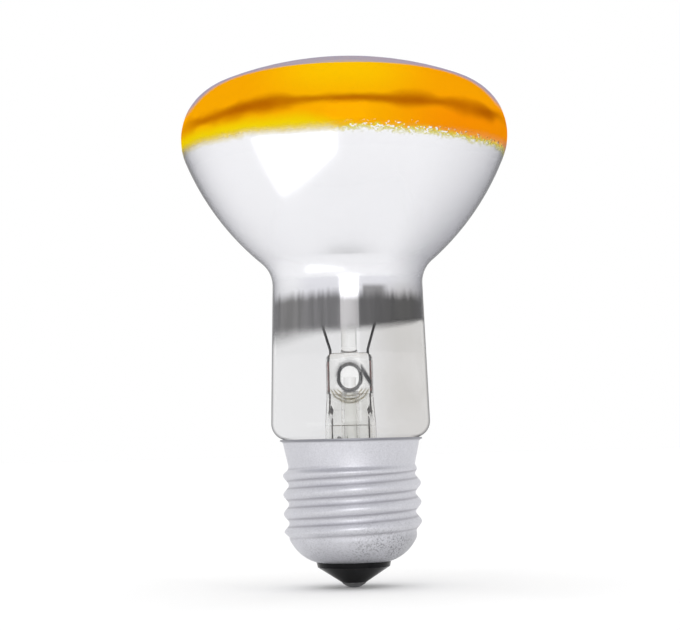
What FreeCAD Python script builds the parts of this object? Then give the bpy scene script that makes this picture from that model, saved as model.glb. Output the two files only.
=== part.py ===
import FreeCAD, Part
import math
import os
import re
from FreeCAD import Placement, Rotation, Vector
from Sketcher import Constraint

# Reflector lamp with a screw cap.
# Frame: Z is the axis of the lamp and points out of the lit face. The origin is the tip
# of the centre contact. The camera side is -Y, so the two leads stand left and right on X.
# Lengths are in millimetres and angles in degrees.

doc = FreeCAD.newDocument("reflector_lamp")
sheet = doc.addObject("Spreadsheet::Sheet", "Sizes")

# Driving dimensions
DRIVING = {
    # Blown envelope
    "widest_radius": 31.5,
    "widest_height": 86.0,
    "dome_radius": 65.0,
    "rim_radius": 10.8,
    "rim_sweep": 22.0,
    "reflector_radius": 51.0,
    "neck_fillet": 5.6,
    "neck_top_radius": 14.4,
    "neck_step": 2.25,
    "heel_radius": 3.2,
    "mouth_fillet": 2.0,
    "mouth_depth": 1.72,
    "mouth_gap": 0.7,
    "glass_wall": 0.8,
    "seal_gap": 1.0,
    "seal_depth": 1.7,
    # Stem: flared tube, pinched press and blow hole
    "flare_wall": 0.9,
    "flare_flat": 0.9,
    "tube_radius": 4.9,
    "tube_length": 4.1,
    "shoulder_length": 5.4,
    "press_length": 8.6,
    "press_half_width": 4.5,
    "press_half_depth": 1.9,
    "press_round": 1.4,
    "crotch_rise": 0.8,
    "crotch_wall": 0.55,
    "arbor_foot_radius": 2.3,
    "arbor_foot_rise": 1.0,
    "blow_hole_rise": 3.9,
    "blow_hole_half_width": 1.9,
    "blow_hole_half_height": 2.3,
    "blow_bead": 0.32,
    # Exhaust tube, tipped off inside the cap
    "exhaust_radius": 1.75,
    "exhaust_wall": 0.6,
    "exhaust_rise": 1.2,
    "exhaust_tip_rise": 2.7,
    "exhaust_taper": 4.0,
    # Arbor rod with its button
    "arbor_radius": 1.5,
    "button_drop": 5.3,
    "button_radius": 2.2,
    "button_depth": 2.4,
    # Leads
    "lead_spread": 3.6,
    "lead_diameter": 0.5,
    "lead_seat_depth": 1.6,
    "lead_bend_rise": 0.6,
    "seal_wire_diameter": 0.36,
    "seal_wire_length": 5.8,
    "outer_lead_diameter": 0.36,
    "crimp_radius": 0.55,
    "crimp_length": 1.6,
    "weld_radius": 0.29,
    "weld_half_length": 0.45,
    "weld_depth": 4.0,
    "centre_lead_rise": 3.0,
    "fuse_diameter": 0.3,
    "fuse_drop": 3.8,
    "fuse_slant": 3.6,
    "side_lead_sag": 2.9,
    "side_lead_end_gap": 0.3,
    # Filament and its hooks
    "filament_height": 64.7,
    "filament_ring_radius": 9.1,
    "filament_diameter": 0.6,
    "hook_wire_diameter": 0.22,
    "hook_clearance": 0.04,
    "hook_seat_depth": 0.8,
    "hook_count": 3,
    # Screw cap shell
    "shell_sheet": 0.3,
    "shell_floor_radius": 7.2,
    "shell_floor_height": 4.9,
    "bowl_radius": 7.8,
    "thread_root_radius": 12.1,
    "thread_depth": 1.05,
    "thread_pitch": 3.63,
    "bowl_depth": 4.4,
    "thread_length": 13.9,
    "thread_crest_rise": 4.8,
    "thread_runout": 1.6,
    "skirt_radius": 12.95,
    "skirt_length": 4.0,
    "lip_flare": 0.65,
    "lip_depth": 1.0,
    # Insulator, contact, solder and cement
    "insulator_step": 1.0,
    "insulator_step_draft": 0.3,
    "insulator_depth": 2.4,
    "insulator_reach": 0.76,
    "fit_clearance": 0.07,
    "contact_radius": 2.35,
    "contact_height": 0.95,
    "contact_sheet": 0.35,
    "contact_round": 1.2,
    "contact_face_radius": 1.7,
    "contact_face_height": 0.42,
    "eyelet_radius": 1.2,
    "eyelet_bore_radius": 0.8,
    "solder_tip_radius": 0.6,
    "solder_round": 2.0,
    "solder_fill": 1.6,
    "cement_gap": 0.4,
    "side_solder_radius": 0.9,
    "side_solder_sink": 0.1,
}

# Dimensions that follow from the driving ones
DERIVED = {
    "thread_low_height": "shell_floor_height + bowl_depth",
    "thread_top_height": "thread_low_height + thread_length",
    "thread_crest_height": "thread_low_height + thread_crest_rise",
    "skirt_height": "thread_top_height + skirt_length",
    "lip_height": "skirt_height + lip_depth",
    "cement_low_height": "thread_top_height + cement_gap",
    "cement_top_height": "skirt_height",
    "side_solder_height": "lip_height - side_solder_sink",
    "mouth_height": "lip_height - mouth_depth",
    "shell_root_bore": "thread_root_radius - shell_sheet",
    "skirt_bore": "skirt_radius - shell_sheet",
    "lip_radius": "skirt_radius + lip_flare",
    "neck_base_radius": "skirt_radius + neck_step",
    "seal_radius": "shell_root_bore - seal_gap",
    "seal_height": "thread_top_height - seal_depth",
    "seal_top_radius": "skirt_bore - mouth_gap",
    "heel_centre": "neck_base_radius - heel_radius",
    "mouth_centre": "seal_top_radius + mouth_fillet",
    "heel_cosine": "(mouth_centre - heel_centre) / (heel_radius + mouth_fillet)",
    "heel_sine": "sqrt(1 - heel_cosine ^ 2)",
    "neck_base_height": "mouth_height + (heel_radius + mouth_fillet) * heel_sine",
    "rim_centre": "widest_radius - rim_radius",
    "dome_reach": "dome_radius - rim_radius",
    "dome_centre_height": "widest_height - sqrt(dome_reach ^ 2 - rim_centre ^ 2)",
    "dome_cosine": "rim_centre / dome_reach",
    "dome_sine": "(widest_height - dome_centre_height) / dome_reach",
    "reflector_reach": "reflector_radius - rim_radius",
    "reflector_centre": "rim_centre - reflector_reach * cos(rim_sweep)",
    "reflector_centre_height": "widest_height + reflector_reach * sin(rim_sweep)",
    "fillet_centre": "neck_top_radius + neck_fillet",
    "fillet_cosine": "(fillet_centre - reflector_centre) / (reflector_radius + neck_fillet)",
    "fillet_sine": "sqrt(1 - fillet_cosine ^ 2)",
    "neck_top_height": "reflector_centre_height - (reflector_radius + neck_fillet) * fillet_sine",
    "tube_bore": "tube_radius - flare_wall",
    "flare_centre": "seal_radius - flare_flat",
    "flare_fillet": "flare_centre - tube_radius",
    "flare_top_height": "seal_height + flare_fillet",
    "flare_low_height": "seal_height - flare_wall",
    "tube_height": "flare_top_height + tube_length",
    "press_foot_height": "tube_height + shoulder_length",
    "press_height": "press_foot_height + press_length",
    "crotch_height": "press_foot_height + crotch_rise",
    "blow_hole_height": "press_foot_height + blow_hole_rise",
    "blow_bead_half_width": "blow_hole_half_width + blow_bead / 2",
    "blow_bead_low_height": "blow_hole_height - blow_hole_half_height + blow_hole_half_width",
    "exhaust_top": "press_foot_height + exhaust_rise",
    "exhaust_tip_height": "thread_low_height + exhaust_tip_rise",
    "arbor_foot_height": "press_height + arbor_foot_rise",
    "arbor_height": "filament_height - button_drop",
    "press_flat": "press_half_width - press_half_depth",
    "crotch_half_width": "press_half_width - crotch_wall",
    "crotch_half_depth": "press_half_depth - 2 * crotch_wall",
    "crotch_flat": "crotch_half_width - crotch_half_depth",
    "exhaust_bore": "exhaust_radius - exhaust_wall",
    "lead_low_height": "press_height - lead_seat_depth",
    "lead_bend_height": "press_height + lead_bend_rise",
    "seal_wire_low_height": "lead_low_height - seal_wire_length",
    "weld_low_height": "seal_wire_low_height - weld_depth - weld_half_length",
    "weld_top_height": "weld_low_height + 2 * weld_half_length",
    "weld_bulge": "weld_radius - outer_lead_diameter / 2",
    "weld_round": "(weld_half_length ^ 2 + weld_bulge ^ 2) / (2 * weld_bulge)",
    "centre_lead_end": "exhaust_tip_height + centre_lead_rise",
    "fuse_bend_height": "centre_lead_end - fuse_drop",
    "fuse_axis_height": "fuse_bend_height - fuse_slant",
    "side_lead_drop": "seal_height - side_lead_sag",
    "crimp_low_height": "filament_height - crimp_length / 2",
    "button_centre_height": "arbor_height + button_depth / 2",
    "hook_ring_radius": "filament_diameter / 2 + hook_clearance + hook_wire_diameter / 2",
    "bowl_half_run": "(thread_root_radius - shell_floor_radius) / 2",
    "bowl_half_climb": "(thread_low_height - shell_floor_height) / 2",
    "bowl_half_chord": "sqrt(bowl_half_run ^ 2 + bowl_half_climb ^ 2)",
    "bowl_rise": "sqrt(bowl_radius ^ 2 - bowl_half_chord ^ 2)",
    "bowl_centre": "shell_floor_radius + bowl_half_run - bowl_rise * bowl_half_climb / bowl_half_chord",
    "bowl_centre_height": "shell_floor_height + bowl_half_climb"
                          " + bowl_rise * bowl_half_run / bowl_half_chord",
    "bowl_bore": "bowl_radius - shell_sheet - fit_clearance",
    "insulator_top_radius": "bowl_centre + bowl_bore * insulator_reach",
    "insulator_step_height": "shell_floor_height - insulator_step",
    "insulator_step_radius": "shell_floor_radius - insulator_step_draft",
    "eyelet_top_height": "contact_height + insulator_depth + contact_sheet",
    "seal_slope": "(seal_top_radius - seal_radius) / (mouth_height - seal_height)",
    "skirt_slope": "(skirt_radius - thread_root_radius) / (skirt_height - thread_top_height)",
    "side_lead_top_height": "cement_top_height + side_lead_end_gap",
    "side_lead_low_radius": "(seal_radius + shell_root_bore) / 2",
    "side_lead_neck_radius": "(seal_radius + (thread_top_height - seal_height) * seal_slope"
                             " + shell_root_bore) / 2",
    "side_lead_mid_radius": "(seal_top_radius + shell_root_bore"
                            " + (mouth_height - thread_top_height) * skirt_slope) / 2",
    "side_lead_top_radius": "(mouth_centre - sqrt(mouth_fillet ^ 2 - (side_lead_top_height - mouth_height) ^ 2)"
                            " + skirt_bore) / 2",
}

NAMES = sorted(list(DRIVING) + list(DERIVED), key=len, reverse=True)
ALIAS = re.compile(r"\b(" + "|".join(NAMES) + r")\b")


def fill_sheet():
    """Write every driving dimension and every formula into the sheet, one row each."""
    row = 1
    for name, value in DRIVING.items():
        sheet.set("A%d" % row, name)
        sheet.set("B%d" % row, str(value))
        sheet.setAlias("B%d" % row, name)
        row += 1
    for name, formula in DERIVED.items():
        sheet.set("A%d" % row, name)
        sheet.set("B%d" % row, "=" + formula)
        sheet.setAlias("B%d" % row, name)
        row += 1
    doc.recompute()


def linked(formula):
    """Write a formula of dimension names the way a bound property needs it."""
    return ALIAS.sub(r"Sizes.\1", str(formula))


def size(formula):
    """Value of a formula of dimension names."""
    result = sheet.evalExpression(linked(formula))
    return float(getattr(result, "Value", result))


def origin_plane(body, role):
    return [item for item in body.Origin.OriginFeatures if item.Role == role][0]


def new_body(label):
    body = doc.addObject("PartDesign::Body", label)
    body.Label = label
    return body


def new_sketch(body, name, role, offset=None):
    """Sketch on one of the body's own planes, moved along its normal by a formula."""
    sketch = body.newObject("Sketcher::SketchObject", name)
    sketch.AttachmentSupport = [(origin_plane(body, role), "")]
    sketch.MapMode = "FlatFace"
    if offset is not None:
        sketch.AttachmentOffset = Placement(Vector(0, 0, size(offset)), Rotation())
        sketch.setExpression("AttachmentOffset.Base.z", linked(offset))
    return sketch


def constrain(sketch, kind, refs, formula):
    """Dimensional constraint bound to a formula."""
    index = sketch.addConstraint(Constraint(kind, *refs, size(formula)))
    sketch.setExpression("Constraints[%d]" % index, linked(formula))


def pin_point(sketch, geo, end, point):
    """Fix one end of an edge at (across, up), both formulas."""
    constrain(sketch, "DistanceX", (-1, 1, geo, end), point[0])
    constrain(sketch, "DistanceY", (-1, 1, geo, end), point[1])


def arc_between(start, end, radius, turn):
    """Arc from start to end, shorter way, turning left (+1) or right (-1)."""
    chord = end - start
    half = chord.Length / 2
    rise = math.sqrt(max(radius * radius - half * half, 0.0))
    normal = Vector(-chord.y, chord.x, 0).normalize()
    centre = (start + end) * 0.5 + normal * (rise * turn)
    a = math.atan2(start.y - centre.y, start.x - centre.x)
    b = math.atan2(end.y - centre.y, end.x - centre.x)
    circle = Part.Circle(centre, Vector(0, 0, 1), radius)
    if turn > 0:
        return Part.ArcOfCircle(circle, a, b), 1, 2
    return Part.ArcOfCircle(circle, b, a), 2, 1


def draw(sketch, steps, closed=True):
    """Draw an outline. Each step is (across, up) for a straight edge to that corner, or
    (across, up, radius, turn) for an arc to it. The first step is the start corner."""
    corners = [Vector(size(step[0]), size(step[1]), 0) for step in steps]
    count = len(steps)
    edges = []
    order = list(range(1, count)) + ([0] if closed else [])
    for index in order:
        start = corners[index - 1]
        end = corners[index]
        step = steps[index]
        if len(step) == 4:
            arc, first, last = arc_between(start, end, size(step[2]), step[3])
            geo = sketch.addGeometry(arc, False)
            constrain(sketch, "Radius", (geo,), step[2])
        else:
            geo = sketch.addGeometry(Part.LineSegment(start, end), False)
            first, last = 1, 2
        edges.append((geo, first, last))
    for before, after in zip(edges, edges[1:]):
        sketch.addConstraint(Constraint("Coincident", before[0], before[2], after[0], after[1]))
    if closed:
        before, after = edges[-1], edges[0]
        sketch.addConstraint(Constraint("Coincident", before[0], before[2], after[0], after[1]))
    pin_point(sketch, edges[0][0], edges[0][1], steps[0])
    for edge, index in zip(edges, order):
        if index != 0:
            pin_point(sketch, edge[0], edge[2], steps[index])
    return edges


def draw_circle(sketch, centre, radius):
    """Full circle with its centre and radius bound to formulas."""
    at = Vector(size(centre[0]), size(centre[1]), 0)
    geo = sketch.addGeometry(Part.Circle(at, Vector(0, 0, 1), size(radius)), False)
    pin_point(sketch, geo, 3, centre)
    constrain(sketch, "Radius", (geo,), radius)


def revolve(body, name, sketch, cut=False):
    """Full turn of a sketch about the lamp's axis."""
    kind = "PartDesign::Groove" if cut else "PartDesign::Revolution"
    feature = body.newObject(kind, name)
    feature.Profile = sketch
    feature.ReferenceAxis = (sketch, ["V_Axis"])
    feature.Angle = 360
    doc.recompute()
    return feature


def extrude(body, name, sketch, length, cut=False, midplane=False, reverse=False):
    """Straight extrusion or cut of a sketch."""
    feature = body.newObject("PartDesign::Pocket" if cut else "PartDesign::Pad", name)
    feature.Profile = sketch
    feature.Length = size(length)
    feature.setExpression("Length", linked(length))
    feature.Midplane = midplane
    feature.Reversed = reverse
    doc.recompute()
    return feature


def turned(label, steps):
    """Piece that is one revolved section."""
    body = new_body(label)
    section = new_sketch(body, label + "_section", "XZ_Plane")
    draw(section, steps)
    revolve(body, label + "_turned", section)
    return body


def bent_wire(label, role, offset, points, diameter):
    """Round wire along straight runs in a plane. The first run is upright."""
    body = new_body(label)
    path = new_sketch(body, label + "_path", role, offset)
    edges = draw(path, points, closed=False)
    section = new_sketch(body, label + "_round", "XY_Plane", points[0][1])
    across = points[0][0]
    if role == "XZ_Plane":
        draw_circle(section, (across, "0"), "%s / 2" % diameter)
    else:
        draw_circle(section, (offset, across), "%s / 2" % diameter)
    doc.recompute()
    pipe = body.newObject("PartDesign::AdditivePipe", label + "_wire")
    pipe.Profile = section
    pipe.Spine = (path, ["Edge%d" % (index + 1) for index in range(len(edges))])
    pipe.Transition = "Round corner"
    doc.recompute()
    return body


fill_sheet()


# Blown glass envelope
def make_glass_bulb():
    """Wall section: outside from the crown down to the seal, then back up the inside."""
    def wall(inset):
        """Corners of one side of the wall, inset from the outer face by a formula."""
        return {
            "crown": ("0", "dome_centre_height + dome_radius - %s" % inset),
            "rim": ("rim_centre + (rim_radius - %s) * dome_cosine" % inset,
                    "widest_height + (rim_radius - %s) * dome_sine" % inset),
            "cone": ("rim_centre + (rim_radius - %s) * cos(rim_sweep)" % inset,
                     "widest_height - (rim_radius - %s) * sin(rim_sweep)" % inset),
            "waist": ("fillet_centre - (neck_fillet + %s) * fillet_cosine" % inset,
                      "neck_top_height + (neck_fillet + %s) * fillet_sine" % inset),
            "neck": ("neck_top_radius - %s" % inset, "neck_top_height"),
            "base": ("neck_base_radius - %s" % inset, "neck_base_height"),
            "heel": ("heel_centre + (heel_radius - %s) * heel_cosine" % inset,
                     "neck_base_height - (heel_radius - %s) * heel_sine" % inset),
            "mouth": ("mouth_centre - mouth_fillet - %s" % inset, "mouth_height"),
            "seal": ("seal_radius - %s" % inset, "seal_height"),
        }

    outer = wall("0")
    inner = wall("glass_wall")
    return turned("glass_bulb", [
        outer["crown"],
        outer["rim"] + ("dome_radius", -1),
        outer["cone"] + ("rim_radius", -1),
        outer["waist"] + ("reflector_radius", -1),
        outer["neck"] + ("neck_fillet", 1),
        outer["base"],
        outer["heel"] + ("heel_radius", -1),
        outer["mouth"] + ("mouth_fillet", 1),
        outer["seal"],
        inner["seal"],
        inner["mouth"],
        inner["heel"] + ("mouth_fillet + glass_wall", -1),
        inner["base"] + ("heel_radius - glass_wall", 1),
        inner["neck"],
        inner["waist"] + ("neck_fillet + glass_wall", -1),
        inner["cone"] + ("reflector_radius - glass_wall", 1),
        inner["rim"] + ("rim_radius - glass_wall", 1),
        inner["crown"] + ("dome_radius - glass_wall", 1),
    ])


def draw_slot(sketch, flat, depth):
    """Closed slot across the axis, its two ends rounded to half its width."""
    tip = "(%s) + (%s)" % (flat, depth)
    draw(sketch, [
        ("-(%s)" % flat, "-(%s)" % depth, depth, 1),
        (flat, "-(%s)" % depth),
        (tip, "0", depth, 1),
        (flat, depth, depth, 1),
        ("-(%s)" % flat, depth),
        ("-(%s)" % tip, "0", depth, 1),
    ])


def draw_split_round(sketch, radius, flat, depth):
    """Circle cut into arcs whose ends face the corners and tips of a slot."""
    reach = "sqrt((%s) ^ 2 + (%s) ^ 2)" % (flat, depth)
    across = "%s * (%s) / %s" % (radius, flat, reach)
    up = "%s * (%s) / %s" % (radius, depth, reach)
    draw(sketch, [
        ("-(%s)" % across, "-(%s)" % up, radius, 1),
        (across, "-(%s)" % up, radius, 1),
        (radius, "0", radius, 1),
        (across, up, radius, 1),
        ("-(%s)" % across, up, radius, 1),
        ("-(%s)" % radius, "0", radius, 1),
    ])


def draw_oval(sketch, half_width, half_height, height):
    """Upright oval on the axis: two straight sides joined by half rounds."""
    straight = "((%s) - (%s))" % (half_height, half_width)
    low, high = "%s - %s" % (height, straight), "%s + %s" % (height, straight)
    return draw(sketch, [
        ("-(%s)" % half_width, low),
        ("0", "%s - (%s)" % (height, half_height), half_width, 1),
        (half_width, low, half_width, 1),
        (half_width, high),
        ("0", "%s + (%s)" % (height, half_height), half_width, 1),
        ("-(%s)" % half_width, high, half_width, 1),
    ])


# Stem: flared tube sealed to the envelope, pinched into a press round the wires
def make_stem_glass():
    body = new_body("stem_glass")

    flare = new_sketch(body, "flare_section", "XZ_Plane")
    draw(flare, [
        ("0", "tube_height"),
        ("tube_radius", "tube_height"),
        ("tube_radius", "flare_top_height"),
        ("flare_centre", "seal_height", "flare_fillet", 1),
        ("seal_radius", "seal_height"),
        ("seal_radius", "flare_low_height"),
        ("0", "flare_low_height"),
    ])
    revolve(body, "flare", flare)

    foot_low = new_sketch(body, "press_foot_low", "XY_Plane", "tube_height")
    draw_split_round(foot_low, "tube_radius", "press_flat", "press_half_depth")
    foot_top = new_sketch(body, "press_foot_top", "XY_Plane", "press_foot_height")
    draw_slot(foot_top, "press_flat", "press_half_depth")
    foot = body.newObject("PartDesign::AdditiveLoft", "press_foot")
    foot.Profile = foot_low
    foot.Sections = [foot_top]
    foot.Ruled = True
    doc.recompute()

    pinch = new_sketch(body, "press_section", "XY_Plane", "press_foot_height")
    draw_slot(pinch, "press_flat", "press_half_depth")
    press = extrude(body, "press", pinch, "press_length")
    top_edges = ["Edge%d" % (index + 1) for index, edge in enumerate(press.Shape.Edges)
                 if edge.BoundBox.ZMin > size("press_height") - 0.01]
    rounding = body.newObject("PartDesign::Fillet", "press_rounding")
    rounding.Base = (press, top_edges)
    rounding.Radius = size("press_round")
    rounding.setExpression("Radius", linked("press_round"))
    doc.recompute()

    mound = new_sketch(body, "arbor_foot_section", "XZ_Plane")
    draw(mound, [
        ("0", "arbor_foot_height"),
        ("arbor_radius", "arbor_foot_height"),
        ("arbor_foot_radius", "press_height - press_round / 2",
         "arbor_foot_rise + press_round", 1),
        ("0", "press_height - press_round / 2"),
    ])
    revolve(body, "arbor_foot", mound)

    bore = new_sketch(body, "flare_bore_section", "XZ_Plane")
    draw(bore, [
        ("0", "tube_height"),
        ("tube_bore", "tube_height"),
        ("tube_bore", "flare_top_height"),
        ("flare_centre", "flare_low_height", "flare_fillet + flare_wall", 1),
        ("0", "flare_low_height"),
    ])
    revolve(body, "flare_bore", bore, cut=True)

    crotch_low = new_sketch(body, "crotch_low", "XY_Plane", "tube_height")
    draw_split_round(crotch_low, "tube_bore", "crotch_flat", "crotch_half_depth")
    crotch_top = new_sketch(body, "crotch_top", "XY_Plane", "crotch_height")
    draw_slot(crotch_top, "crotch_flat", "crotch_half_depth")
    crotch = body.newObject("PartDesign::SubtractiveLoft", "crotch")
    crotch.Profile = crotch_low
    crotch.Sections = [crotch_top]
    crotch.Ruled = True
    doc.recompute()

    hole = new_sketch(body, "blow_hole_outline", "XZ_Plane", "0")
    draw_oval(hole, "blow_hole_half_width", "blow_hole_half_height", "blow_hole_height")
    extrude(body, "blow_hole", hole, "2 * press_half_depth", cut=True, reverse=True)

    rim = new_sketch(body, "blow_bead_path", "XZ_Plane", "press_half_depth")
    edges = draw_oval(rim, "blow_bead_half_width", "blow_hole_half_height + blow_bead / 2",
                      "blow_hole_height")
    bead_round = new_sketch(body, "blow_bead_round", "XY_Plane", "blow_bead_low_height")
    draw_circle(bead_round, ("-blow_bead_half_width", "-press_half_depth"), "blow_bead")
    doc.recompute()
    bead = body.newObject("PartDesign::AdditivePipe", "blow_bead_lip")
    bead.Profile = bead_round
    bead.Spine = (rim, ["Edge%d" % (index + 1) for index in range(len(edges))])
    doc.recompute()

    seat = new_sketch(body, "exhaust_seat_section", "XZ_Plane")
    draw(seat, [
        ("0", "tube_height - 1"),
        ("exhaust_radius", "tube_height - 1"),
        ("exhaust_radius", "exhaust_top"),
        ("exhaust_bore", "exhaust_top"),
        ("exhaust_bore", "blow_hole_height"),
        ("0", "blow_hole_height"),
    ])
    revolve(body, "exhaust_seat", seat, cut=True)

    for name, low, diameter, depth in (
            ("lead_holes", "lead_low_height", "lead_diameter", "lead_seat_depth + press_round"),
            ("wire_holes", "crotch_height - 2 * crotch_wall", "seal_wire_diameter",
             "lead_low_height - crotch_height + 2 * crotch_wall")):
        holes = new_sketch(body, name + "_rounds", "XY_Plane", low)
        for side in ("", "-"):
            draw_circle(holes, ("%s(lead_spread)" % side, "0"), "%s / 2" % diameter)
        extrude(body, name, holes, depth, cut=True, reverse=True)
    return body


# Exhaust tube: open at the blow hole, drawn to a closed tip in the cap
def make_exhaust_tube():
    return turned("exhaust_tube", [
        ("exhaust_bore", "exhaust_top"),
        ("exhaust_radius", "exhaust_top"),
        ("exhaust_radius", "exhaust_tip_height + exhaust_taper"),
        ("exhaust_wall", "exhaust_tip_height"),
        ("0", "exhaust_tip_height"),
        ("0", "exhaust_tip_height + exhaust_taper / 2"),
        ("exhaust_bore", "exhaust_tip_height + exhaust_taper"),
    ])


# Arbor: solid glass rod with a flattened button that holds the hooks
def make_arbor_rod():
    return turned("arbor_rod", [
        ("0", "arbor_foot_height"),
        ("arbor_radius", "arbor_foot_height"),
        ("arbor_radius", "arbor_height"),
        ("button_radius", "arbor_height + button_depth / 4"),
        ("button_radius", "arbor_height + button_depth * 3 / 4"),
        ("arbor_radius", "arbor_height + button_depth"),
        ("0", "arbor_height + button_depth"),
    ])


# Leads from the press up to the filament
def make_inner_lead(label, side):
    body = bent_wire(label, "XZ_Plane", "0", [
        ("%s(lead_spread)" % side, "lead_low_height"),
        ("%s(lead_spread)" % side, "lead_bend_height"),
        ("%s(filament_ring_radius)" % side, "crimp_low_height"),
    ], "lead_diameter")
    barrel = new_sketch(body, label + "_crimp_round", "XY_Plane", "crimp_low_height")
    draw_circle(barrel, ("%s(filament_ring_radius)" % side, "0"), "crimp_radius")
    extrude(body, label + "_crimp", barrel, "crimp_length")
    eye = new_sketch(body, label + "_eye_round", "XZ_Plane", "0")
    draw_circle(eye, ("%s(filament_ring_radius)" % side, "filament_height"), "filament_diameter / 2")
    extrude(body, label + "_eye", eye, "crimp_radius * 3", cut=True, midplane=True)
    return body


# Red copper-clad wire sealed in the press
def make_seal_wire(label, side):
    return bent_wire(label, "XZ_Plane", "0", [
        ("%s(lead_spread)" % side, "seal_wire_low_height"),
        ("%s(lead_spread)" % side, "lead_low_height"),
    ], "seal_wire_diameter")


# Outer leads: one to the cap rim, one to the fuse wire and the centre contact
def add_weld(body, label, side):
    """Knot where the two metals of the lead are welded."""
    knot = new_sketch(body, label + "_weld_section", "XZ_Plane", "0")
    wire_face = "%slead_spread + outer_lead_diameter / 2" % side
    draw(knot, [
        ("%slead_spread" % side, "weld_low_height"),
        (wire_face, "weld_low_height"),
        (wire_face, "weld_top_height", "weld_round", 1),
        ("%slead_spread" % side, "weld_top_height"),
    ])
    turned_knot = body.newObject("PartDesign::Revolution", label + "_weld")
    turned_knot.Profile = knot
    turned_knot.ReferenceAxis = (knot, ["Edge4"])
    turned_knot.Angle = 360
    doc.recompute()
    return body


def make_outer_lead_centre():
    body = bent_wire("outer_lead_centre", "XZ_Plane", "0", [
        ("lead_spread", "centre_lead_end"),
        ("lead_spread", "seal_wire_low_height"),
    ], "outer_lead_diameter")
    return add_weld(body, "outer_lead_centre", "")


def make_outer_lead_side():
    def across(radius):
        return "sqrt(%s ^ 2 - lead_spread ^ 2)" % radius

    body = bent_wire("outer_lead_side", "YZ_Plane", "-lead_spread", [
        ("0", "seal_wire_low_height"),
        ("0", "side_lead_drop"),
        (across("side_lead_low_radius"), "side_lead_drop"),
        (across("side_lead_low_radius"), "seal_height"),
        (across("side_lead_neck_radius"), "thread_top_height"),
        (across("side_lead_mid_radius"), "mouth_height"),
        (across("side_lead_top_radius"), "side_lead_top_height"),
    ], "outer_lead_diameter")
    return add_weld(body, "outer_lead_side", "-")


def make_fuse_wire():
    return bent_wire("fuse_wire", "XZ_Plane", "0", [
        ("lead_spread", "centre_lead_end"),
        ("lead_spread", "fuse_bend_height"),
        ("0", "fuse_axis_height"),
        ("0", "solder_fill"),
    ], "fuse_diameter")


# Filament: half ring behind the arbor, its ends in the crimps of the leads
def make_filament():
    body = new_body("filament")
    path = new_sketch(body, "filament_path", "XY_Plane", "filament_height")
    draw(path, [
        ("filament_ring_radius", "-crimp_radius"),
        ("filament_ring_radius", "0"),
        ("0", "filament_ring_radius", "filament_ring_radius", 1),
        ("-filament_ring_radius", "0", "filament_ring_radius", 1),
        ("-filament_ring_radius", "-crimp_radius"),
    ], closed=False)
    section = new_sketch(body, "filament_round", "XZ_Plane", "crimp_radius")
    draw_circle(section, ("filament_ring_radius", "filament_height"), "filament_diameter / 2")
    doc.recompute()
    coil = body.newObject("PartDesign::AdditivePipe", "filament_coil")
    coil.Profile = section
    coil.Spine = (path, ["Edge1", "Edge2", "Edge3", "Edge4"])
    doc.recompute()
    return body


# Hooks: wires from the button that end in a loop round the filament
def make_hook(label, turn):
    body = new_body(label)
    path = new_sketch(body, label + "_path", "XZ_Plane", "0")
    draw(path, [
        ("button_radius - hook_seat_depth", "button_centre_height"),
        ("button_radius + hook_seat_depth", "button_centre_height"),
        ("filament_ring_radius", "filament_height - hook_ring_radius"),
    ], closed=False)
    section = new_sketch(body, label + "_round", "YZ_Plane", "button_radius - hook_seat_depth")
    draw_circle(section, ("0", "button_centre_height"), "hook_wire_diameter / 2")
    doc.recompute()
    wire = body.newObject("PartDesign::AdditivePipe", label + "_wire")
    wire.Profile = section
    wire.Spine = (path, ["Edge1", "Edge2"])
    wire.Transition = "Right corner"
    doc.recompute()
    loop = new_sketch(body, label + "_loop_round", "XZ_Plane", "0")
    draw_circle(loop, ("filament_ring_radius", "filament_height"),
                "hook_ring_radius + hook_wire_diameter / 2")
    extrude(body, label + "_loop", loop, "hook_wire_diameter * 1.6", midplane=True)
    eye = new_sketch(body, label + "_eye_round", "XZ_Plane", "0")
    draw_circle(eye, ("filament_ring_radius", "filament_height"),
                "hook_ring_radius - hook_wire_diameter / 2")
    extrude(body, label + "_eye", eye, "hook_wire_diameter * 3", cut=True, midplane=True)
    body.Placement = Placement(Vector(), Rotation(Vector(0, 0, 1), turn))
    doc.recompute()
    return body


def cut_from(label, base, tools):
    """The base piece less each tool in turn. The tools stay pieces of their own."""
    base.Label = label + "_blank"
    result = base
    for index, tool in enumerate(tools):
        rest = doc.addObject("Part::Cut", "%s_cut_%d" % (label, index + 1))
        rest.Base = result
        rest.Tool = tool
        doc.recompute()
        result = rest
    result.Label = label
    return result


# Screw cap shell: one drawn sheet, with the thread rolled into it
COLUMNS_PER_TURN = 32
ROWS_PER_PITCH = 10
ROWS_IN_BEND = 7


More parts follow.
